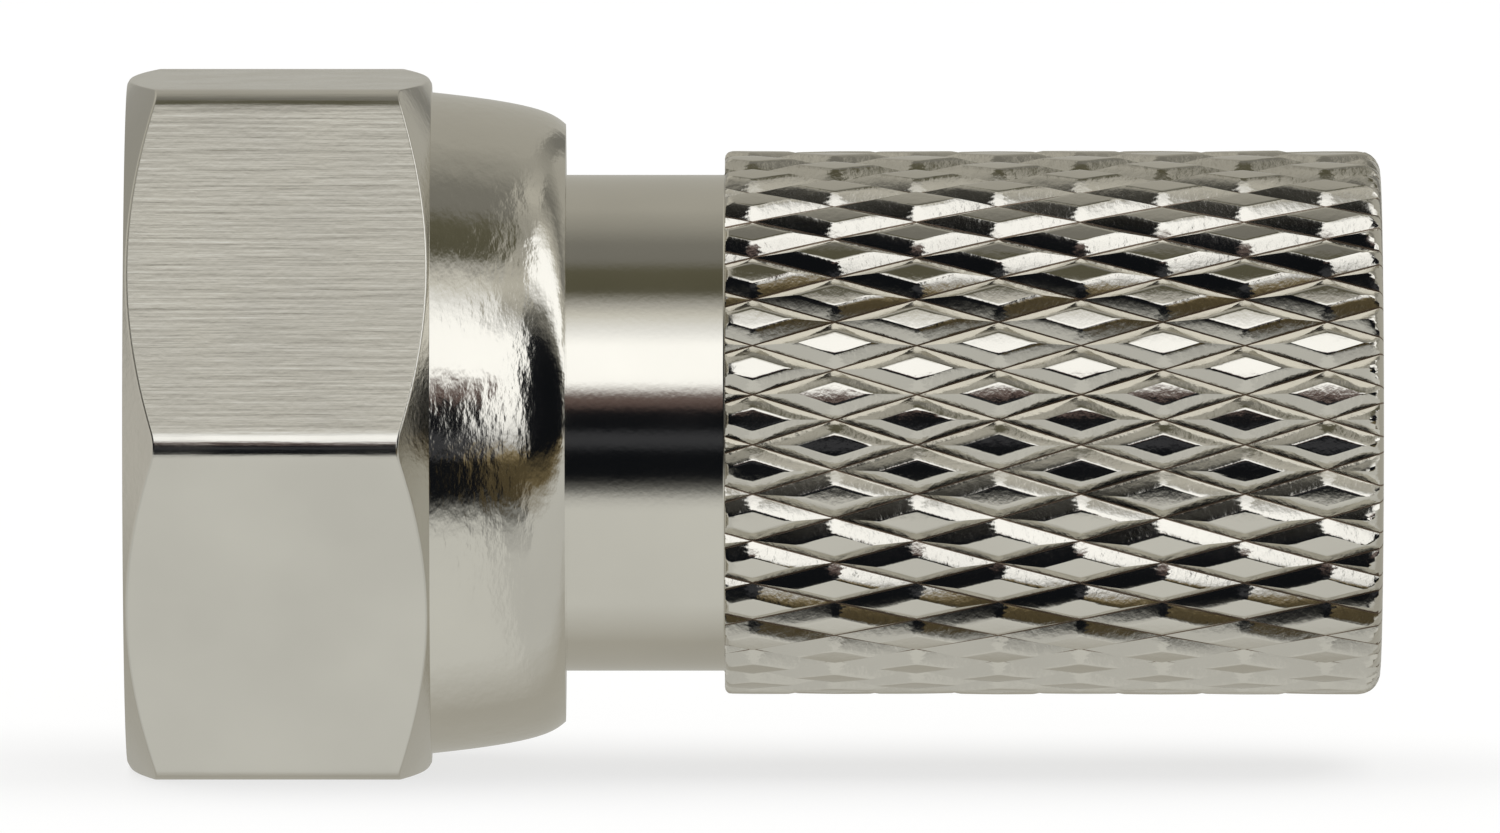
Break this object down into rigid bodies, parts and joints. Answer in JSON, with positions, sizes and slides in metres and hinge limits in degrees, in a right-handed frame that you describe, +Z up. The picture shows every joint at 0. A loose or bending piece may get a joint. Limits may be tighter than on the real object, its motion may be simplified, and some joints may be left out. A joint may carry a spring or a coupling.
{
  "type": "f connector",
  "caption": "Screw-on male F plug for coaxial cable: a free-turning hexagon coupling nut with a rolled collar on a turned body with a diamond-knurled cable sleeve.",
  "frame": {"origin": "centre of the flange's contact face, on the connector's axis: the plane where a port seats", "axes": "+X along the axis towards the cable end, +Z up through the middle of a hexagon flat"},
  "size_m": [0.02, 0.0126, 0.011],
  "materials": {
    "nut_plating": "bright nickel plating on fine-brushed flats",
    "body_plating": "bright nickel plating on a turned and knurled body"
  },
  "bodies": {
    "plug_body": {"connector_body": "body_plating"},
    "nut": {"coupling_nut": "nut_plating"}
  },
  "joints": [
    {"name": "nut_spin", "type": "hinge", "parent": "plug_body", "child": "nut", "pos_m": [0, 0, 0], "axis": [1, 0, 0], "continuous": true}
  ]
}
